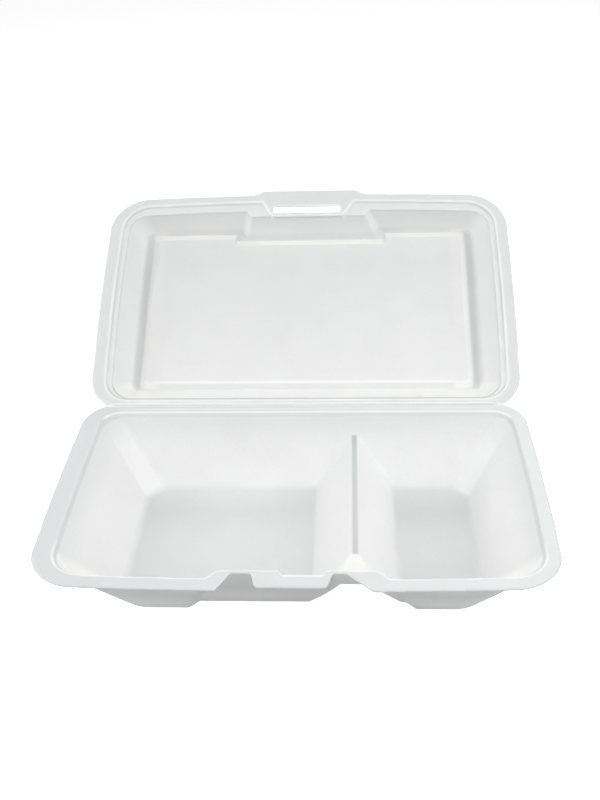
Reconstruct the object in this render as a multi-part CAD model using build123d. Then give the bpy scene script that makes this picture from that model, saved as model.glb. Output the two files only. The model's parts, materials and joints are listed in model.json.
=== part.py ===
from build123d import *
from collections import namedtuple
from math import sqrt
import os

# Foam clamshell container, open, in millimetres.
# Row frame: X along the hinge, +Y from the front edge to the hinge, +Z up, z = 0 on the table.
# Tray and lid are each drawn as a dish in a rim frame: the hinge axis is x at y = 0 and z = 0,
# the front edge lies at -y, the parting plane is z = 0 and the floor is at -z.
# "skin" is how far the form of a hollow is grown: 0 gives its inner faces, the foam its outer ones.

# Trimmed outline that tray and lid share: its round hinge corners run on past the crease line by the
# lap, and the crease cuts them off. The hinge lies this far behind the row frame's origin.
rim_length = 236.4
rim_depth = 140.3
front_bow = 2.8
side_bow = 1.1
front_corner = 24.0
hinge_corner = 19.0
hinge_lap = 2.4
hinge_place = 71.0

# Hinge crease and the open pose
closed_gap = 0.3
crease_radius = 0.9
crease_clearance = 0.05
lid_angle = 30.0

# Both dishes: how far the foam's outer step follows the inner one, how much the outer corners
# grow with the foam, how much of the rim's bow is left at the floor, and how far cutting shapes
# run past what they cut
outer_step_share = 0.8
outer_corner_share = 1.5
floor_bow_share = 0.2
past = 12.0

# Tray; what the mould forms lies a little to one side in the trimmed rim
tray_shift = 1.6
tray_foam = 3.4
tray_rim_foam = 1.3
tray_depth = 40.0
tray_side_flange = 8.2
tray_front_flange = 7.0
tray_hinge_flange = 6.8
tray_step_depth = 2.5
tray_step_width = 1.0
tray_ledge = 0.4
tray_floor_length = 173.5
tray_floor_front = 31.1
tray_floor_hinge = 22.5
tray_wall_corner = 21.0
tray_floor_corner = 12.0
tray_wall_cut = 7.5
tray_floor_cut = 8.7
tray_floor_bevel = 1.2
tray_foot_bevel = 1.6

# Divider between the two compartments, hollow from below
divider_place = 26.4
divider_drop = 12.0
divider_top = 3.0
divider_foot = 42.4
groove_foam = 1.3
groove_roof = 2.8
groove_top = 1.0
ramp_length = 37.0
mouth_drop = 1.0
mouth_top = 22.5
mouth_foot = 48.0
mouth_roof = 14.2

# Front wall of the tray, set back behind the latch
set_back = 5.7
set_back_floor = 3.5
set_back_large = 34.0
set_back_small = 36.0
set_back_flare = 0.4
set_back_spread = 1.0
set_back_foam = 1.8
pocket_front = 9.8
pocket_place = 3.1
pocket_width = 17.5
pocket_spread = 0.5
pocket_depth = 6.0

# Latch: a tongue between two notches on the tray, a slotted tab on the lid
tongue_width = 31.4
tongue_back = 2.2
notch_depth = 12.2
notch_large_floor = 8.0
notch_large_taper = 6.5
notch_small_floor = 4.5
notch_small_taper = 13.0
notch_side_taper = 2.5
notch_round = 2.0
tab_length = 55.0
tab_place = 1.4
tab_reach = 3.0
tab_flare = 12.0
bridge_root = 62.0
bridge_end = 42.0
slot_length = 40.0
slot_width = 4.3
slot_place = 9.2
slot_lip = 3.0

# Lid
lid_shift = 0.4
lid_foam = 1.5
lid_depth = 17.0
lid_side_flange = 7.0
lid_front_flange = 5.4
lid_hinge_flange = 3.3
lid_step_depth = 1.6
lid_step_width = 0.9
lid_ledge = 2.6
lid_front_ledge = 4.8
lid_hinge_ledge = 0.4
lid_floor_length = 200.5
lid_floor_front = 13.7
lid_floor_hinge = 17.6
lid_wall_corner = 12.0
lid_floor_corner = 7.0
lid_floor_bevel = 0.8
lid_foot_bevel = 1.0
lid_set_back = 4.3
lid_set_back_floor = 4.7
lid_recess_half = 33.4
lid_recess_large_flare = 0.2
lid_recess_small_flare = 0.5
lid_recess_spread = 0.75

# Raised panel of the lid, with a channel round it
panel_rise = 3.4
panel_length = 183.0
panel_front = 20.3
panel_hinge = 20.8
panel_side_bevel = 4.2
panel_front_bevel = 5.6
panel_hinge_bevel = 2.4
panel_corner = 3.0
panel_notch_half = 45.5
panel_notch_place = 1.5

# Worked out from the values above
half_length = rim_length / 2
half_gap = closed_gap / 2
front_edge = -(rim_depth + front_bow)
table_to_hinge = tray_depth + tray_foam + half_gap
trim_corner = hinge_corner + hinge_lap / 2
crease_length = rim_length - 2 * (trim_corner - sqrt(trim_corner**2 - (trim_corner - hinge_lap) ** 2))

Dish = namedtuple(
    "Dish",
    "shift foam depth side_flange front_flange hinge_flange step_depth step_width "
    "side_ledge front_ledge hinge_ledge floor_half floor_front floor_hinge wall_corner floor_corner "
    "floor_bevel foot_bevel hinge_cuts",
)

tray_dish = Dish(
    tray_shift,
    tray_foam,
    tray_depth,
    tray_side_flange,
    tray_front_flange,
    tray_hinge_flange,
    tray_step_depth,
    tray_step_width,
    tray_ledge,
    tray_ledge,
    tray_ledge,
    tray_floor_length / 2,
    tray_floor_front,
    tray_floor_hinge,
    tray_wall_corner,
    tray_floor_corner,
    tray_floor_bevel,
    tray_foot_bevel,
    (tray_wall_cut, tray_floor_cut),
)
lid_dish = Dish(
    lid_shift,
    lid_foam,
    lid_depth,
    lid_side_flange,
    lid_front_flange,
    lid_hinge_flange,
    lid_step_depth,
    lid_step_width,
    lid_ledge,
    lid_front_ledge,
    lid_hinge_ledge,
    lid_floor_length / 2,
    lid_floor_front,
    lid_floor_hinge,
    lid_wall_corner,
    lid_floor_corner,
    lid_floor_bevel,
    lid_foot_bevel,
    None,
)


def level(depth):
    """Height in the rim frame of a place this far below the top of the rim."""
    return -half_gap - depth


def bow_edge(start, end, bow):
    """One side of an outline that runs anticlockwise, bowed outwards."""
    start = Vector(*start)
    end = Vector(*end)
    along = (end - start).normalized()
    middle = (start + end) * 0.5 + Vector(along.Y, -along.X) * bow
    return ThreePointArc(start, middle, end)


def outline(low_x, high_x, front, hinge, bow_share, corners, depth, hinge_cut=False):
    """A rectangle with bowed front and sides, at one depth below the rim.

    Its corners are round, or cut off straight at the hinge.
    """
    face = make_face(
        [
            Line((high_x, hinge), (low_x, hinge)),
            bow_edge((low_x, hinge), (low_x, front), side_bow * bow_share),
            bow_edge((low_x, front), (high_x, front), front_bow * bow_share),
            bow_edge((high_x, front), (high_x, hinge), side_bow * bow_share),
        ]
    )
    middle = (front + hinge) / 2
    face = fillet(face.vertices().filter_by(lambda corner: corner.Y < middle), corners[0])
    square = face.vertices().sort_by(Axis.Y)[-2:]
    face = chamfer(square, corners[1]) if hinge_cut else fillet(square, corners[1])
    return Pos(0, 0, level(depth)) * face


def rim_outline(side, front, hinge, depth, shift):
    """The trimmed outline, drawn in by these insets; shift moves what the mould forms."""
    corners = (front_corner - (side + front) / 2, hinge_corner - (side + hinge) / 2)
    return outline(
        side - half_length + shift,
        half_length - side + shift,
        front - rim_depth,
        -hinge,
        1.0,
        corners,
        depth,
    )


def wall_front(dish, depth, skin):
    """Y of the front wall, less its bow, at a depth."""
    top = dish.front_flange + dish.step_width + dish.front_ledge
    slope = (dish.floor_front - top) / (dish.depth - dish.step_depth)
    return top + slope * (depth - dish.step_depth) - rim_depth - skin * sqrt(1 + slope**2)


def wall_outline(dish, depth, skin):
    """The hollow at a depth: its four walls lean in evenly from the step to the floor."""
    run = dish.depth - dish.step_depth
    share = (depth - dish.step_depth) / run
    side_top = half_length - dish.side_flange - dish.step_width - dish.side_ledge
    side_slope = (side_top - dish.floor_half) / run
    half = side_top - side_slope * run * share + skin * sqrt(1 + side_slope**2)
    hinge_top = dish.hinge_flange + dish.step_width + dish.hinge_ledge
    hinge_slope = (dish.floor_hinge - hinge_top) / run
    hinge = hinge_top + hinge_slope * run * share - skin * sqrt(1 + hinge_slope**2)
    corner = dish.wall_corner + (dish.floor_corner - dish.wall_corner) * share
    corner += skin * outer_corner_share
    corners = (corner, corner)
    if dish.hinge_cuts:
        at_top, at_floor = dish.hinge_cuts
        corners = (corner, at_top + (at_floor - at_top) * share + (2 - sqrt(2)) * skin)
    return outline(
        dish.shift - half,
        dish.shift + half,
        wall_front(dish, depth, skin),
        -hinge,
        1 - (1 - floor_bow_share) * share,
        corners,
        depth,
        bool(dish.hinge_cuts),
    )


def step_form(dish, skin):
    """The step down from the flat flange, round the whole rim."""
    grown = skin * outer_step_share
    sides = [value - grown for value in (dish.side_flange, dish.front_flange, dish.hinge_flange)]
    feet = [value + dish.step_width for value in sides]
    top = rim_outline(*sides, 0, dish.shift)
    return loft([top, rim_outline(*feet, dish.step_depth + skin, dish.shift)], ruled=True)


def wall_form(dish, skin):
    """The leaning walls down to the floor, before anything is set back into them."""
    start = dish.step_depth / 2 if skin else dish.step_depth
    bevel = dish.foot_bevel if skin else dish.floor_bevel
    floor = dish.depth + skin
    sections = [
        wall_outline(dish, start, skin),
        wall_outline(dish, floor - bevel, skin),
        wall_outline(dish, floor, skin - bevel),
    ]
    return loft(sections, ruled=True)


def set_back_form(dish, low_x, high_x, flares, spread, distances, skin):
    """What stands in front of a straight wall that lies behind the bowed one.

    The distances are how far behind at the top and at the floor. The flares widen the form
    downwards at its low and high x, spread widens it towards the front.
    """
    lean = skin * sqrt(1 + spread**2)
    front = front_edge - past
    at_top, at_floor = distances

    def plan(depth):
        share = (depth - dish.step_depth) / (dish.depth - dish.step_depth)
        bow = front_bow * (1 - (1 - floor_bow_share) * share)
        back = wall_front(dish, depth, skin) - bow + at_top + (at_floor - at_top) * share
        low = low_x - flares[0] * depth + lean
        high = high_x + flares[1] * depth - lean
        run = spread * (back - front)
        shape = Polyline(
            (low - run, front),
            (high + run, front),
            (high, back),
            (low, back),
            close=True,
        )
        return Pos(dish.shift, 0, level(depth)) * make_face(shape)

    return loft([plan(-past), plan(dish.depth + past)], ruled=True)


def divider_section(y, drop, top, foot, skin, groove_drop):
    """The divider's trapezoid at y; with a skin it is the groove under it, this much lower."""
    slope = (foot - top) / 2 / (tray_depth - drop)
    lean = skin * sqrt(1 + slope**2)
    roof = max(groove_drop if skin else 0, ((groove_top - top) / 2 + lean) / slope)
    high = drop + roof
    deep = tray_depth + past
    high_half = top / 2 + slope * roof - lean
    deep_half = top / 2 + slope * (deep - drop) - lean
    centre = tray_shift + divider_place
    shape = Polyline(
        (centre - high_half, level(high)),
        (centre + high_half, level(high)),
        (centre + deep_half, level(deep)),
        (centre - deep_half, level(deep)),
        close=True,
    )
    return Plane.XZ.offset(-y) * make_face(shape)


def divider_form(skin):
    """A ridge from the hinge wall, which rises and widens in a ramp to the front wall."""
    ramp = front_edge + ramp_length
    ridge = (divider_drop, divider_top, divider_foot, min(skin, groove_foam), groove_roof)
    level_run = loft([divider_section(0, *ridge), divider_section(ramp, *ridge)], ruled=True)
    mouth = divider_section(front_edge, mouth_drop, mouth_top, mouth_foot, skin, mouth_roof)
    return level_run + loft([divider_section(ramp, *ridge), mouth], ruled=True)


def pocket_form(skin):
    """The shallow pocket behind the tongue, which reaches nearer to the rim there."""
    front_half = pocket_width / 2 + skin * (sqrt(1 + pocket_spread**2) - pocket_spread)
    back_half = front_half + pocket_spread * (past + skin)
    front = front_edge + pocket_front - skin
    back = front_edge + pocket_front + past
    plan = Polyline(
        (-front_half, front),
        (front_half, front),
        (back_half, back),
        (-back_half, back),
        close=True,
    )
    place = Pos(tray_shift + pocket_place, 0, level(pocket_depth + skin))
    return extrude(place * make_face(plan), pocket_depth + skin + past)


def tray_hollow(skin):
    """Both compartments as one form."""
    behind_latch = set_back_form(
        tray_dish,
        -set_back_large,
        set_back_small,
        (set_back_flare, set_back_flare),
        set_back_spread,
        (set_back, set_back_floor),
        min(skin, set_back_foam),
    )
    pocket = pocket_form(min(skin, set_back_foam))
    dish = step_form(tray_dish, skin) + wall_form(tray_dish, skin)
    return dish - (behind_latch - pocket) - divider_form(skin)


def notches():
    """The plan of the two notches and of the tongue's set-back edge between them."""
    half = tongue_width / 2
    edge = front_edge + tongue_back
    deep = front_edge + notch_depth
    inner = half + notch_side_taper
    large_outer = inner + notch_large_floor
    small_outer = inner + notch_small_floor
    large_root = large_outer + notch_large_taper
    small_root = small_outer + notch_small_taper
    shape = Polyline(
        (-large_root, front_edge - past),
        (-large_root, front_edge),
        (-large_outer, deep),
        (-inner, deep),
        (-half, edge),
        (half, edge),
        (inner, deep),
        (small_outer, deep),
        (small_root, front_edge),
        (small_root, front_edge - past),
        close=True,
    )
    face = make_face(shape)
    corners = face.vertices().filter_by(lambda corner: corner.Y > front_edge - past / 2)
    plan = Pos(0, 0, level(tray_rim_foam + past)) * fillet(corners, notch_round)
    return extrude(plan, 2 * past + tray_rim_foam)


def flange(foam):
    """The flat rim plate, trimmed to the shared outline and cut off at the crease."""
    beyond = Pos(0, past - half_gap, level(foam)) * Box(2 * rim_length, 2 * past, 2 * past)
    return extrude(rim_outline(0, 0, -hinge_lap, foam, 0), foam) - beyond


def crease(length, clearance):
    """The round bead of squeezed foam on the hinge axis, or the room for it."""
    return Rot(0, 90, 0) * Cylinder(crease_radius + clearance, length)


def tray():
    """The deep dish with two compartments."""
    body = flange(tray_rim_foam) - notches() + tray_hollow(tray_foam)
    return body - tray_hollow(0) + crease(crease_length, 0)


def panel_form(skin):
    """The raised panel inside the lid, with bevelled edges and a notch at the latch."""
    top = lid_depth - panel_rise + skin
    deep = lid_depth + skin + past
    slopes = [bevel / panel_rise for bevel in (panel_side_bevel, panel_front_bevel, panel_hinge_bevel)]
    places = (half_length - panel_length / 2, panel_front, panel_hinge)

    def section(depth):
        below = depth - lid_depth + panel_rise
        side, front, hinge = [
            place - slope * below + skin * sqrt(1 + slope**2) for place, slope in zip(places, slopes)
        ]
        centre = Pos(lid_shift, -(rim_depth - front + hinge) / 2, level(depth))
        return centre * RectangleRounded(rim_length - 2 * side, rim_depth - front - hinge, panel_corner)

    slope = slopes[1]

    def notch_wall(depth):
        below = depth - lid_depth + panel_rise
        return panel_front - rim_depth + lid_set_back_floor - slope * below + skin * sqrt(1 + slope**2)

    side_view = Polyline(
        (notch_wall(top - past), level(top - past)),
        (notch_wall(deep), level(deep)),
        (front_edge - 2 * past, level(deep)),
        (front_edge - 2 * past, level(top - past)),
        close=True,
    )
    middle = Plane.YZ.offset(lid_shift + panel_notch_place)
    notch = extrude(middle * make_face(side_view), panel_notch_half + skin, both=True)
    return loft([section(top), section(deep)], ruled=True) - notch


def bridge(drawn_in, low, high):
    """The part of the lid's rim that holds the slot, between two depths."""
    back = front_edge + slot_place + slot_width + slot_lip
    taper = (bridge_root - bridge_end) / 2 / (back - front_edge)
    outer = bridge_root / 2 + taper * past - drawn_in
    inner = bridge_end / 2 - drawn_in
    shape = Polyline(
        (-outer, front_edge - past), (outer, front_edge - past), (inner, back), (-inner, back), close=True
    )
    return extrude(Pos(lid_shift, 0, level(low)) * make_face(shape), low - high)


def lid_hollow(skin):
    """The lid's shallow hollow, its walls set back at the latch and its floor raised to a panel."""
    behind_latch = set_back_form(
        lid_dish,
        -lid_recess_half,
        lid_recess_half,
        (lid_recess_large_flare, lid_recess_small_flare),
        lid_recess_spread,
        (lid_set_back, lid_set_back_floor),
        skin,
    )
    step = step_form(lid_dish, skin)
    walls = wall_form(lid_dish, skin) - behind_latch
    if skin:
        form = step - bridge(skin, lid_step_depth + past, skin) + walls
    else:
        form = step + walls - bridge(0, lid_step_depth, -past)
    return form - panel_form(skin)


def tab():
    """The latch tab, which stands a little proud of the lid's front edge."""
    half = tab_length / 2
    shape = Polyline(
        (-half - tab_flare, front_edge + tab_reach),
        (-half, front_edge - tab_reach),
        (half, front_edge - tab_reach),
        (half + tab_flare, front_edge + tab_reach),
        close=True,
    )
    return extrude(Pos(tab_place, 0, level(lid_foam)) * make_face(shape), lid_foam)


def slot():
    """The slot in the tab that takes the tray's tongue."""
    place = Pos(0, front_edge + slot_place + slot_width / 2, level(0))
    return place * Box(slot_length, slot_width, 2 * past)


def lid():
    """The shallow dish, in the rim frame."""
    body = flange(lid_foam) + tab() + lid_hollow(lid_foam)
    body = body - lid_hollow(0) - slot()
    return body - crease(rim_length, crease_clearance)


def place_tray(shape):
    """From the rim frame to the row frame."""
    return Pos(0, hinge_place, table_to_hinge) * shape


def place_lid(shape):
    """Behind the hinge, leaning back at the angle of the open pose."""
    return Pos(0, hinge_place, table_to_hinge) * Rot(lid_angle, 0, 0) * mirror(shape, Plane.XZ)


parts = {
    "tray": place_tray(tray()),
    "lid": place_lid(lid()),
}
os.makedirs("parts", exist_ok=True)
for node, shape in parts.items():
    solid = shape.solids()[0]
    export_step(solid, os.path.join("parts", node + ".step"))
    print(node, len(shape.solids()), "solid", round(solid.volume / 1000, 1), "cm3")
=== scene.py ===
import json
from math import cos, pi, radians, sin

import bmesh
import bpy
import numpy as np
from mathutils import Matrix, Vector, noise


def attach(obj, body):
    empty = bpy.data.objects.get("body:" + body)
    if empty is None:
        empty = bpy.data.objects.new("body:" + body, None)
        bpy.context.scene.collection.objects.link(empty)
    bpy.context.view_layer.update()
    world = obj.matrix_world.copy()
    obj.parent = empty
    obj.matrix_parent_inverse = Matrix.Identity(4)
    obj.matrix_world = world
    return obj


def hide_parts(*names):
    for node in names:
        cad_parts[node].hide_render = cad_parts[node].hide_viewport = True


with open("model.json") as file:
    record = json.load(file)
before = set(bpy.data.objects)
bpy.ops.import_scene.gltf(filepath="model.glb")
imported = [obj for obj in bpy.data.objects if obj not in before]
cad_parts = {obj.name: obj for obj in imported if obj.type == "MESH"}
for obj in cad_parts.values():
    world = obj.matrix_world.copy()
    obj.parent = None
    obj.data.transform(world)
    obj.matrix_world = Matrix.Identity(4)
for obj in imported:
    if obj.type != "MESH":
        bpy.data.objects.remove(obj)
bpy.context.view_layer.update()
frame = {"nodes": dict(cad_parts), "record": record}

MM = 0.001

# The hinge axis and the lid's open angle, as the part has them
HINGE = Vector(frame["record"]["behaviour"]["joints"][0]["pos_m"])
LID_ANGLE = radians(30)

# The photograph's camera, fitted to the outlines of tray and lid in its 600 by 800 frame
PHOTO_WIDTH = 600
PHOTO_HEIGHT = 800
FOCAL_PIXELS = 997.8
CENTRE_X = 292.9
CENTRE_Y = 410.6
CAMERA_FROM_HINGE = Vector((26.4 * MM, -452.6 * MM, 301.2 * MM))
CAMERA_YAW = -0.0705
CAMERA_PITCH = 0.5922
CAMERA_ROLL = -0.0431
SENSOR_WIDTH = 36.0
CLIP_START = 10.0 * MM

# Lamps: name, azimuth and elevation in degrees, watts
LAMP_AIM = Vector((0.0, 0.05, 0.04))
LAMP_DISTANCE = 0.95
LAMP_SIZE = 0.7
LAMPS = (
    ("front_lamp", 178, 36, 5.9),
    ("right_lamp", 92, 38, 4.9),
    ("left_lamp", 270, 28, 5.3),
    ("back_lamp", 0, 27, 6.0),
)

# Room and ground
WHITE = (1.0, 1.0, 1.0, 1.0)
ROOM_COLOUR = (0.97, 0.985, 1.0, 1.0)
ROOM_STRENGTH = 0.01
GROUND_COLOUR = (0.6, 0.6, 0.6, 1.0)
GROUND_GLOW = 0.9
GROUND_SIZE = 8.0
GROUND_DROP = 0.1 * MM

# The foam's colours
FOAM_WHITE = (0.803, 0.806, 0.804, 1.0)
FOAM_SHADE = (0.77, 0.773, 0.771, 1.0)
# A lighter colour for painted highlights
FOAM_HIGHLIGHT = (0.9, 0.9, 0.89, 1.0)
# A darker colour for painted shade, also the pressed rim's own greyer tone
FOAM_PRESSED_AND_SHADE = (0.50, 0.513, 0.523, 1.0)

# The foam's skin: sizes of its textures, mottling, gloss, grain, and how deep light goes in
CELL_SCALE = 1100.0
GRAIN_SCALE = 2600.0
GRAIN_DETAIL = 2.0
GRAIN_ROUGHNESS = 0.6
CLOUD_SCALE = 55.0
CLOUD_DETAIL = 4.0
CLOUD_ROUGHNESS = 0.55
MOTTLE_CELLS = 0.35
MOTTLE_ENDS = (0.25, 0.65)
ROUGHNESS_ENDS = (0.48, 0.66)
GRAIN_SHARE = 0.5
BUMP_STRENGTH = 0.22
BUMP_HEIGHT = 0.12 * MM
LIGHT_DEPTH = 1.0 * MM
SPECULAR = 0.35

# The foam's mesh: seams, even faces, soft edges, waves and ripples, and where these calm down near the rim
WELD = 0.002 * MM
VOXEL = 0.62 * MM
SMOOTH_STEPS = 3
SMOOTH_SHARE = 0.5
MOST_TRIANGLES = 190000
WAVE_HEIGHT = 0.16 * MM
WAVE_SCALE = 28.0
RIPPLE_HEIGHT = 0.05 * MM
RIPPLE_SCALE = 140.0
CALM_Z = (-5.0 * MM, -1.0 * MM)
TRAY_SEED = 3.7
LID_SEED = 9.2

# The bead over the crease, and how far the lid's edge stays from the hinge axis
CREASE_RADIUS = 1.1 * MM
CREASE_CLEAR = 1.25 * MM
LEAST_RADIUS = 0.1 * MM
CREASE_HALF_LENGTH = 107.0 * MM
CREASE_SIDES = 24
CREASE_STEPS = 160
CREASE_END_STEPS = 3
CREASE_END_SHARE = 0.15
CREASE_WAVE = 0.06
CREASE_WAVE_SCALE = 90
CREASE_SEED = 3.1

# Marks for painted shade, with the pressed rim's own greyer tone, and for painted highlights. In each
# half's own frame y starts at the hinge, negative on the tray, and z is the height over the rim. A pair of
# ends says where something starts and where it is full.
SPINE_HALF = 60.0 * MM
SPINE_Y = 70.0 * MM
INWARD = (0.3, 0.6)
LEANING = (0.15, 0.4)
HARDLY_UP = (0.0, 0.3)
UPWARD = (0.0, 0.5)
UNDER_RIM_Z = (-0.1 * MM, -0.5 * MM)
INSIDE_Z = (-2.6 * MM, -3.0 * MM)
HIGHLIGHT_MARK = 0.85
LINE_FADE = 0.6 * MM

# Both halves: the rim, with its own pressed tone; a painted highlight on its inner edge; the strip along
# the hinge, free of the rim's tone and painted as a highlight on the lid; painted shade on the step inside
# the rim and on the wall below
RIM_Z = (-0.6 * MM, -0.3 * MM)
# The rim's pressed foam is a little greyer; on the tray painted shade also darkens it towards the left and
# lightens it towards the right
TRAY_RIM_MARK = 0.39
TRAY_RIM_LEAN = 0.3
HALF_LENGTH = 118.0 * MM
LID_RIM_MARK = 0.21
# Painted highlight on the rim's inner edge
EDGE_HIGHLIGHT = 0.45
EDGE_LOOK = (0.08, 0.2)
EDGE_LOOK_END = (0.85, 0.65)
EDGE_Z = (-1.0 * MM, -0.8 * MM)
EDGE_FRONT_Y = (110.0 * MM, 125.0 * MM)
STRIP_X = (100.0 * MM, 85.0 * MM)
STRIP_Y = (8.0 * MM, 7.0 * MM)
STRIP_Z = (-1.4 * MM, -0.8 * MM)
# Painted shade on the step inside the rim and on the wall below it
STEP_SHADE = 0.45
STEP_Z = (-3.0 * MM, -2.6 * MM)
HINGE_SIDE_Y = (13.0 * MM, 12.0 * MM)
TRAY_HINGE_STEP = 0.6
LID_HINGE_STEP = 1.7
BELOW_STEP_SHADE = 0.16
BELOW_STEP_Z = (-15.0 * MM, -2.6 * MM)

# The tray: a darker line along the divider's top, and painted shade on the floor and on the upper part of
# the outer walls
RIDGE_MARK = 0.85
RIDGE_X = 28.0 * MM
RIDGE_Z = -12.15 * MM
RIDGE_HALF = 1.1 * MM
FLOOR_SHADE = 0.13
FLOOR_Z = (-38.0 * MM, -39.6 * MM)
OUTER_SHADE = 0.5
OUTER_Z = (-33.0 * MM, -20.0 * MM)

# The lid: painted shade in the channel beside its panel, on the panel and on its hinge-side bevel, painted
# highlights on the panel's side bevels, and the folds beside the tab, painted lighter
CHANNEL_SHADE = 0.32
CHANNEL_X = 97.3 * MM
CHANNEL_HALF = 1.0 * MM
CHANNEL_FADE = 2.2 * MM
CHANNEL_Z = (-15.4 * MM, -16.4 * MM)
PANEL_SHADE = 0.22
PANEL_X = (88.0 * MM, 84.0 * MM)
PANEL_Y = (30.0 * MM, 120.0 * MM)
PANEL_Z = (-13.2 * MM, -14.2 * MM)
SIDE_BEVEL_X = (84.0 * MM, 85.0 * MM)
HINGE_BEVEL_SHADE = 0.16
HINGE_BEVEL_Y = (71.0 * MM, 70.0 * MM)
HINGE_EDGE_Y = 21.0 * MM
HINGE_EDGE_HALF = 0.3 * MM
HINGE_CHANNEL_Y = (18.0 * MM, 17.0 * MM)
FOLD_X = 1.2 * MM
FOLD_Y = (126.0 * MM, 127.0 * MM)
FOLD_SPREAD_Y = (127.0 * MM, 144.0 * MM)
FOLD_NARROW = 21.5 * MM
FOLD_WIDE = 31.0 * MM
FOLD_HALF = 0.5 * MM


def node_tree(material):
    """The material's empty node tree."""
    material.use_nodes = True
    tree = material.node_tree
    tree.nodes.clear()
    return tree


def add(tree, kind, **values):
    """One shader node, with its inputs set by name."""
    node = tree.nodes.new(kind)
    for name, value in values.items():
        node.inputs[name.replace("_", " ")].default_value = value
    return node


def mottled(tree, cells, cloud):
    """The plain foam's colour, faintly mottled by its cells and by soft clouds."""
    mottle = tree.nodes.new("ShaderNodeMix")
    mottle.data_type = "FLOAT"
    mottle.inputs["Factor"].default_value = MOTTLE_CELLS
    tree.links.new(cloud.outputs["Fac"], mottle.inputs["A"])
    tree.links.new(cells.outputs["Distance"], mottle.inputs["B"])
    colour = tree.nodes.new("ShaderNodeValToRGB")
    stops = colour.color_ramp.elements
    for stop, position, tint in zip(stops, MOTTLE_ENDS, (FOAM_SHADE, FOAM_WHITE)):
        stop.position = position
        stop.color = tint
    tree.links.new(mottle.outputs["Result"], colour.inputs["Fac"])
    return colour.outputs["Color"]


def tinted(tree, colour, name, tint):
    """This colour, and the tint where the mesh's mark of this name is full."""
    mark = tree.nodes.new("ShaderNodeAttribute")
    mark.attribute_name = name
    mix = tree.nodes.new("ShaderNodeMix")
    mix.data_type = "RGBA"
    mix.inputs["B"].default_value = tint
    tree.links.new(mark.outputs["Fac"], mix.inputs["Factor"])
    tree.links.new(colour, mix.inputs["A"])
    return mix.outputs["Result"]


def grained(tree, cells, grain):
    """The fine relief of the foam's cells under their skin."""
    relief = tree.nodes.new("ShaderNodeMath")
    relief.operation = "MULTIPLY_ADD"
    relief.inputs[1].default_value = GRAIN_SHARE
    tree.links.new(grain.outputs["Fac"], relief.inputs[0])
    tree.links.new(cells.outputs["Distance"], relief.inputs[2])
    bump = add(tree, "ShaderNodeBump", Strength=BUMP_STRENGTH, Distance=BUMP_HEIGHT)
    tree.links.new(relief.outputs["Value"], bump.inputs["Height"])
    return bump.outputs["Normal"]


def foam_material():
    """Matt white polystyrene foam: fine cells under a skin, faintly mottled, with painted highlights and
    painted shade from the mesh's marks.
    """
    material = bpy.data.materials.new("foam_skin")
    tree = node_tree(material)
    place = tree.nodes.new("ShaderNodeTexCoord")
    cells = add(tree, "ShaderNodeTexVoronoi", Scale=CELL_SCALE, Randomness=1.0)
    cells.feature = "F1"
    grain = add(
        tree, "ShaderNodeTexNoise", Scale=GRAIN_SCALE, Detail=GRAIN_DETAIL, Roughness=GRAIN_ROUGHNESS
    )
    cloud = add(
        tree, "ShaderNodeTexNoise", Scale=CLOUD_SCALE, Detail=CLOUD_DETAIL, Roughness=CLOUD_ROUGHNESS
    )
    for texture in (cells, grain, cloud):
        tree.links.new(place.outputs["Object"], texture.inputs["Vector"])

    colour = mottled(tree, cells, cloud)
    # Painted highlights, then painted shade with the pressed rim's greyer tone, as marked on the mesh
    colour = tinted(tree, colour, "highlight", FOAM_HIGHLIGHT)
    colour = tinted(tree, colour, "pressed_and_shade", FOAM_PRESSED_AND_SHADE)

    gloss = tree.nodes.new("ShaderNodeMapRange")
    gloss.inputs["To Min"].default_value = ROUGHNESS_ENDS[0]
    gloss.inputs["To Max"].default_value = ROUGHNESS_ENDS[1]
    tree.links.new(cloud.outputs["Fac"], gloss.inputs["Value"])

    shader = tree.nodes.new("ShaderNodeBsdfPrincipled")
    shader.inputs["Subsurface Weight"].default_value = 1.0
    shader.inputs["Subsurface Radius"].default_value = (1.0, 1.0, 1.0)
    shader.inputs["Subsurface Scale"].default_value = LIGHT_DEPTH
    shader.inputs["Specular IOR Level"].default_value = SPECULAR
    tree.links.new(colour, shader.inputs["Base Color"])
    tree.links.new(gloss.outputs["Result"], shader.inputs["Roughness"])
    tree.links.new(grained(tree, cells, grain), shader.inputs["Normal"])
    output = tree.nodes.new("ShaderNodeOutputMaterial")
    tree.links.new(shader.outputs["BSDF"], output.inputs["Surface"])
    return material


def camera_rays(tree):
    """1 where a ray comes from the camera, a gloss or a transmission, so that all see one backdrop."""
    path = tree.nodes.new("ShaderNodeLightPath")
    total = path.outputs["Is Camera Ray"]
    for name in ("Is Glossy Ray", "Is Transmission Ray"):
        join = tree.nodes.new("ShaderNodeMath")
        join.operation = "MAXIMUM"
        tree.links.new(total, join.inputs[0])
        tree.links.new(path.outputs[name], join.inputs[1])
        total = join.outputs["Value"]
    return total


def ground_material():
    """A plain white ground that keeps the object's shadow."""
    material = bpy.data.materials.new("floor_white")
    tree = node_tree(material)
    diffuse = add(tree, "ShaderNodeBsdfDiffuse", Color=GROUND_COLOUR)
    glow = add(tree, "ShaderNodeEmission", Color=WHITE)
    lift = tree.nodes.new("ShaderNodeMath")
    lift.operation = "MULTIPLY"
    lift.inputs[1].default_value = GROUND_GLOW
    tree.links.new(camera_rays(tree), lift.inputs[0])
    tree.links.new(lift.outputs["Value"], glow.inputs["Strength"])
    both = tree.nodes.new("ShaderNodeAddShader")
    tree.links.new(diffuse.outputs["BSDF"], both.inputs[0])
    tree.links.new(glow.outputs["Emission"], both.inputs[1])
    output = tree.nodes.new("ShaderNodeOutputMaterial")
    tree.links.new(both.outputs["Shader"], output.inputs["Surface"])
    return material


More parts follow.
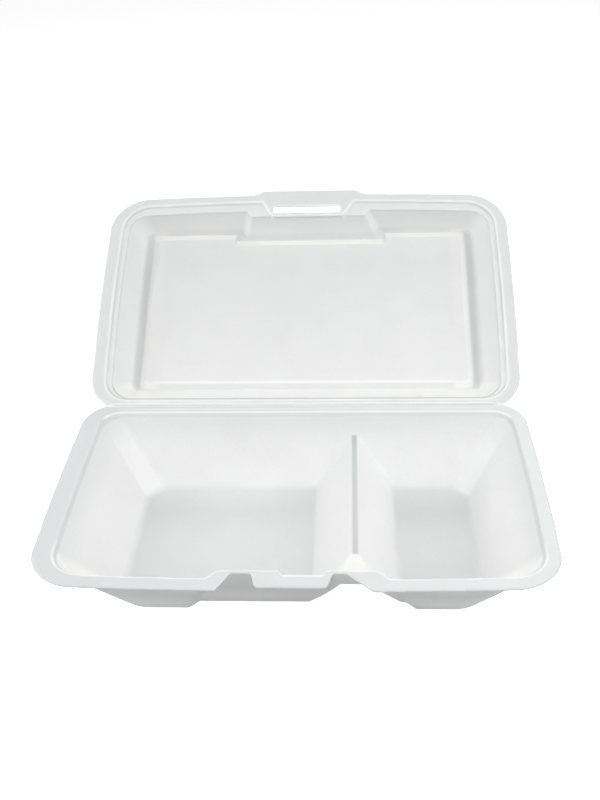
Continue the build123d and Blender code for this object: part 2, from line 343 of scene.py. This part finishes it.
def world_light():
    """An even, faintly blue room, which the camera sees as white."""
    world = bpy.data.worlds.new("studio")
    bpy.context.scene.world = world
    tree = node_tree(world)
    room = add(tree, "ShaderNodeBackground", Color=ROOM_COLOUR, Strength=ROOM_STRENGTH)
    white = add(tree, "ShaderNodeBackground", Color=WHITE, Strength=1.0)
    mix = tree.nodes.new("ShaderNodeMixShader")
    tree.links.new(camera_rays(tree), mix.inputs["Fac"])
    tree.links.new(room.outputs["Background"], mix.inputs[1])
    tree.links.new(white.outputs["Background"], mix.inputs[2])
    output = tree.nodes.new("ShaderNodeOutputWorld")
    tree.links.new(mix.outputs["Shader"], output.inputs["Surface"])


def area_light(name, azimuth, elevation, watts):
    """A soft square lamp that points at the container; azimuth 0 is behind the lid, 90 on the right."""
    azimuth = radians(azimuth)
    elevation = radians(elevation)
    away = Vector(
        (sin(azimuth) * cos(elevation), cos(azimuth) * cos(elevation), sin(elevation))
    )
    light = bpy.data.lights.new(name, "AREA")
    light.shape = "SQUARE"
    light.size = LAMP_SIZE
    light.energy = watts
    lamp = bpy.data.objects.new(name, light)
    lamp.location = LAMP_AIM + LAMP_DISTANCE * away
    lamp.rotation_euler = (-away).to_track_quat("-Z", "Y").to_euler()
    bpy.context.collection.objects.link(lamp)


def photo_camera():
    """The camera at the photograph's place."""
    data = bpy.data.cameras.new("photo_camera")
    data.sensor_fit = "AUTO"
    data.sensor_width = SENSOR_WIDTH
    data.lens = FOCAL_PIXELS * data.sensor_width / PHOTO_HEIGHT
    data.shift_x = (PHOTO_WIDTH / 2 - CENTRE_X) / PHOTO_HEIGHT
    data.shift_y = (CENTRE_Y - PHOTO_HEIGHT / 2) / PHOTO_HEIGHT
    data.clip_start = CLIP_START
    camera = bpy.data.objects.new("photo_camera", data)
    ahead = Vector(
        (sin(CAMERA_YAW) * cos(CAMERA_PITCH), cos(CAMERA_YAW) * cos(CAMERA_PITCH), -sin(CAMERA_PITCH))
    )
    right = Vector((cos(CAMERA_YAW), -sin(CAMERA_YAW), 0.0))
    above = right.cross(ahead)
    level_right = right * cos(CAMERA_ROLL) + above * sin(CAMERA_ROLL)
    level_above = above * cos(CAMERA_ROLL) - right * sin(CAMERA_ROLL)
    turn = Matrix((level_right, level_above, -ahead)).transposed()
    camera.matrix_world = Matrix.Translation(HINGE + CAMERA_FROM_HINGE) @ turn.to_4x4()
    bpy.context.collection.objects.link(camera)
    bpy.context.scene.camera = camera


def welded_copy(node, name, to_rim):
    """A copy of a CAD node's mesh in its own rim frame, with the seams between its faces closed."""
    mesh = node.data.copy()
    mesh.name = name
    mesh.transform(to_rim @ node.matrix_world)
    mesh.materials.clear()
    build = bmesh.new()
    build.from_mesh(mesh)
    bmesh.ops.remove_doubles(build, verts=build.verts, dist=WELD)
    build.to_mesh(mesh)
    build.free()
    piece = bpy.data.objects.new(name, mesh)
    bpy.context.collection.objects.link(piece)
    return piece


def applied(piece):
    """Makes what the piece's modifiers give its mesh."""
    bpy.context.view_layer.update()
    graph = bpy.context.evaluated_depsgraph_get()
    mesh = bpy.data.meshes.new_from_object(piece.evaluated_get(graph))
    piece.modifiers.clear()
    piece.data = mesh


def softened(piece):
    """The piece as moulded foam: even small faces and soft edges."""
    remesh = piece.modifiers.new("voxels", "REMESH")
    remesh.mode = "VOXEL"
    remesh.voxel_size = VOXEL
    soften = piece.modifiers.new("soften", "SMOOTH")
    soften.factor = SMOOTH_SHARE
    soften.iterations = SMOOTH_STEPS
    applied(piece)


def thinned(piece):
    """Merges faces where the foam is flat, so that the piece stays a light mesh."""
    piece.data.calc_loop_triangles()
    count = len(piece.data.loop_triangles)
    if count <= MOST_TRIANGLES:
        return
    thin = piece.modifiers.new("thin", "DECIMATE")
    thin.ratio = MOST_TRIANGLES / count
    applied(piece)


def rows(mesh, name):
    """The mesh's points, for the name "co", or the normals there, for "normal", one row each."""
    values = np.empty(len(mesh.vertices) * 3)
    mesh.vertices.foreach_get(name, values)
    return values.reshape(-1, 3)


def put_points(mesh, points):
    """Moves the mesh's points to these places."""
    mesh.vertices.foreach_set("co", points.ravel())
    mesh.update()


def held_off_crease(piece):
    """Keeps the lid's edge outside the crease's bead, so that the lid turns freely."""
    points = rows(piece.data, "co")
    radius = np.maximum(np.hypot(points[:, 1], points[:, 2]), LEAST_RADIUS)
    points[:, 1:] *= np.maximum(CREASE_CLEAR / radius, 1.0)[:, None]
    put_points(piece.data, points)


def ramp(value, ends):
    """0 at the first end and before it, 1 at the second and beyond, even in between."""
    start, full = ends
    return np.clip((value - start) / (full - start), 0.0, 1.0)


def line(distance, half, fade=LINE_FADE):
    """1 within this half width, fading out beside it."""
    return ramp(np.abs(distance), (half + fade, half))


def uneven(piece, seed):
    """The slight waves and ripples of a moulded sheet, but not at the rim, which must close."""
    points = rows(piece.data, "co")
    normals = rows(piece.data, "normal")
    shift = Vector((seed, 2.0 * seed, 0.5 * seed))
    push = np.empty(len(points))
    for index, point in enumerate(points):
        place = Vector(point)
        wave = noise.noise(place * WAVE_SCALE + shift)
        ripple = noise.noise(place * RIPPLE_SCALE + shift)
        push[index] = WAVE_HEIGHT * wave + RIPPLE_HEIGHT * ripple
    calm = ramp(points[:, 2], CALM_Z)
    points += normals * (push * (1.0 - calm))[:, None]
    put_points(piece.data, points)


def inward_look(x, y, normals):
    """How much each face looks at the middle of the dish: 1 straight at it, 0 up or down, -1 outwards."""
    towards_x = np.clip(x, -SPINE_HALF, SPINE_HALF) - x
    towards_y = np.sign(y) * SPINE_Y - y
    away = np.maximum(np.hypot(towards_x, towards_y), MM)
    return (normals[:, 0] * towards_x + normals[:, 1] * towards_y) / away


class Places:
    """Where each point of a half lies and how its face looks, with the masks that several marks share."""

    def __init__(self, mesh):
        normals = rows(mesh, "normal")
        self.x, self.y, self.z = rows(mesh, "co").T
        self.back = normals[:, 1]
        self.look = inward_look(self.x, self.y, normals)
        self.upwards = ramp(normals[:, 2], UPWARD)
        self.hardly_up = ramp(normals[:, 2], HARDLY_UP)
        self.under_rim = ramp(self.z, UNDER_RIM_Z)
        self.inside = ramp(self.z, INSIDE_Z)
        self.hinge_side = ramp(np.abs(self.y), HINGE_SIDE_Y)
        strip = ramp(np.abs(self.x), STRIP_X) * ramp(np.abs(self.y), STRIP_Y)
        self.hinge_strip = strip * ramp(self.z, STRIP_Z)


def strongest(first, *others):
    """The strongest of these marks at each point."""
    for other in others:
        first = np.maximum(first, other)
    return first


def rim_and_step(at, rim_mark, hinge_step):
    """The rim's pressed tone, and painted shade on the step inside it and on the wall below, with this
    share of the step's shade along the hinge.
    """
    rim = rim_mark * ramp(at.z, RIM_Z) * (1.0 - at.hinge_strip)
    step = STEP_SHADE * ramp(at.z, STEP_Z) * (1.0 + (hinge_step - 1.0) * at.hinge_side)
    below = BELOW_STEP_SHADE * ramp(at.z, BELOW_STEP_Z)
    inner = np.maximum(step, below) * at.under_rim * ramp(at.look, INWARD)
    return np.maximum(rim, inner)


def rim_edge_highlight(at):
    """Painted highlight on the rim's rounded inner edge, where it looks a little inwards."""
    look = ramp(at.look, EDGE_LOOK) * ramp(at.look, EDGE_LOOK_END)
    return look * ramp(at.z, EDGE_Z) * at.upwards


def back_face_highlight(at):
    """Painted highlight on the faces inside the rim that look back, away from the camera."""
    return ramp(at.back, LEANING) * at.hardly_up * at.inside


def tray_marks(at):
    """The tray's painted shade with its rim's pressed tone, its painted highlights, and the painted
    highlight on its rim's edge.
    """
    # The rim's pressed tone, with painted shade darker towards the left
    rim_mark = TRAY_RIM_MARK * (1.0 - TRAY_RIM_LEAN * at.x / HALF_LENGTH)
    # A darker line along the divider's top
    ridge = line(at.x - RIDGE_X, RIDGE_HALF) * line(at.z - RIDGE_Z, 0.0)
    # Painted shade on the floor
    bottom = ramp(at.z, FLOOR_Z) * at.upwards
    # Painted shade on the outer walls under the rim
    outer = ramp(at.z, OUTER_Z) * ramp(-at.look, INWARD) * at.under_rim
    pressed_and_shade = strongest(
        rim_and_step(at, rim_mark, TRAY_HINGE_STEP),
        RIDGE_MARK * ridge,
        FLOOR_SHADE * bottom,
        OUTER_SHADE * outer,
    )
    edge = rim_edge_highlight(at) * np.maximum(ramp(np.abs(at.y), EDGE_FRONT_Y), at.hinge_side)
    return pressed_and_shade, back_face_highlight(at), edge


def fold_lines(at):
    """Painted highlight along the two slanting folds beside the tab, where the darker colour is left off.
    """
    half = FOLD_NARROW + (FOLD_WIDE - FOLD_NARROW) * ramp(at.y, FOLD_SPREAD_Y)
    return line(np.abs(at.x - FOLD_X) - half, FOLD_HALF) * ramp(at.y, FOLD_Y)


def lid_marks(at):
    """The lid's painted shade with its rim's pressed tone, its painted highlights, and the painted
    highlight on its rim's edge.
    """
    across = np.abs(at.x)
    between_sides = ramp(across, PANEL_X)
    # Painted shade in the narrow channel beside the panel
    channel = ramp(at.z, CHANNEL_Z) * at.upwards * line(across - CHANNEL_X, CHANNEL_HALF, CHANNEL_FADE)
    low = ramp(at.z, PANEL_Z) * at.upwards
    # Painted shade on the panel's bevel that faces the hinge
    hinge_bevel = low * ramp(-at.back, LEANING) * ramp(at.y, HINGE_BEVEL_Y)
    # Painted highlight on the panel's side bevels
    side_bevel = low * ramp(-at.look, LEANING) * ramp(across, SIDE_BEVEL_X)
    # Painted highlights along the panel's hinge edge and in the channel on the hinge side
    hinge_edge = line(at.y - HINGE_EDGE_Y, HINGE_EDGE_HALF) * between_sides * at.upwards
    hinge_channel = ramp(at.y, HINGE_CHANNEL_Y) * between_sides * at.upwards * at.inside
    highlight = strongest(
        back_face_highlight(at), side_bevel * (1.0 - channel), at.hinge_strip, hinge_edge, hinge_channel
    )
    # Painted shade on the panel, darker away from the hinge
    panel = low * ramp(at.y, PANEL_Y) * (1.0 - highlight) * between_sides
    pressed_and_shade = strongest(
        rim_and_step(at, LID_RIM_MARK, LID_HINGE_STEP),
        CHANNEL_SHADE * channel,
        HINGE_BEVEL_SHADE * hinge_bevel,
        PANEL_SHADE * panel,
    )
    return pressed_and_shade * (1.0 - fold_lines(at)), highlight, rim_edge_highlight(at)


def put_mark(mesh, name, mark):
    """Keeps one value for each point of the mesh, for the foam's colour."""
    layer = mesh.attributes.new(name, "FLOAT", "POINT")
    layer.data.foreach_set("value", mark)


def marked(piece, marks):
    """Marks painted shade, with the rim's pressed tone, and painted highlights; this is colour only."""
    pressed_and_shade, highlight, edge = marks(Places(piece.data))
    put_mark(piece.data, "highlight", np.maximum(HIGHLIGHT_MARK * highlight, EDGE_HIGHLIGHT * edge))
    put_mark(piece.data, "pressed_and_shade", pressed_and_shade * (1.0 - edge))


def foam_shell(node_name, name, body, to_rim, seed, material):
    """One half of the container as soft moulded foam, in place of its CAD node."""
    piece = welded_copy(frame["nodes"][node_name], name, to_rim)
    softened(piece)
    if node_name == "lid":
        held_off_crease(piece)
    marked(piece, tray_marks if node_name == "tray" else lid_marks)
    uneven(piece, seed)
    thinned(piece)
    piece.data.transform(to_rim.inverted())
    piece.data.materials.append(material)
    piece.data.shade_smooth()
    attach(piece, body)
    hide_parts(node_name)
    return piece


def crease_ring(build, share):
    """One ring of the bead at this share of its length, thinner near the ends."""
    x = (2 * share - 1) * CREASE_HALF_LENGTH
    ending = min(1.0, min(share, 1 - share) * CREASE_STEPS / CREASE_END_STEPS + CREASE_END_SHARE)
    wave = noise.noise(Vector((x * CREASE_WAVE_SCALE, CREASE_SEED, 0.0)))
    radius = CREASE_RADIUS * ending * (1 + CREASE_WAVE * wave)
    ring = []
    for side in range(CREASE_SIDES):
        angle = 2 * pi * side / CREASE_SIDES
        place = HINGE + Vector((x, radius * cos(angle), radius * sin(angle)))
        ring.append(build.verts.new(place))
    return ring


def crease_roll(material):
    """The squeezed bead of foam on the hinge axis, a little uneven along its length."""
    build = bmesh.new()
    rings = []
    for step in range(CREASE_STEPS + 1):
        rings.append(crease_ring(build, step / CREASE_STEPS))
    for first, second in zip(rings, rings[1:]):
        for side in range(CREASE_SIDES):
            after = (side + 1) % CREASE_SIDES
            build.faces.new((first[side], first[after], second[after], second[side]))
    build.faces.new(list(reversed(rings[0])))
    build.faces.new(rings[-1])
    bmesh.ops.recalc_face_normals(build, faces=build.faces)
    mesh = bpy.data.meshes.new("crease_roll")
    build.to_mesh(mesh)
    build.free()
    mesh.materials.append(material)
    mesh.shade_smooth()
    piece = bpy.data.objects.new("crease_roll", mesh)
    bpy.context.collection.objects.link(piece)
    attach(piece, "tray")
    return piece


def floor():
    """A wide plain floor under the tray."""
    bpy.ops.mesh.primitive_plane_add(size=GROUND_SIZE, location=(0, 0, -GROUND_DROP))
    plane = bpy.context.object
    plane.name = "floor"
    plane.data.materials.append(ground_material())


foam = foam_material()
from_hinge = Matrix.Translation(-HINGE)
level_lid = Matrix.Rotation(-LID_ANGLE, 4, "X") @ from_hinge
foam_shell("tray", "tray_foam", "tray", from_hinge, TRAY_SEED, foam)
foam_shell("lid", "lid_foam", "lid", level_lid, LID_SEED, foam)
crease_roll(foam)

floor()
world_light()
for name, azimuth, elevation, watts in LAMPS:
    area_light(name, azimuth, elevation, watts)
photo_camera()

scene = bpy.context.scene
scene.view_settings.view_transform = "Standard"
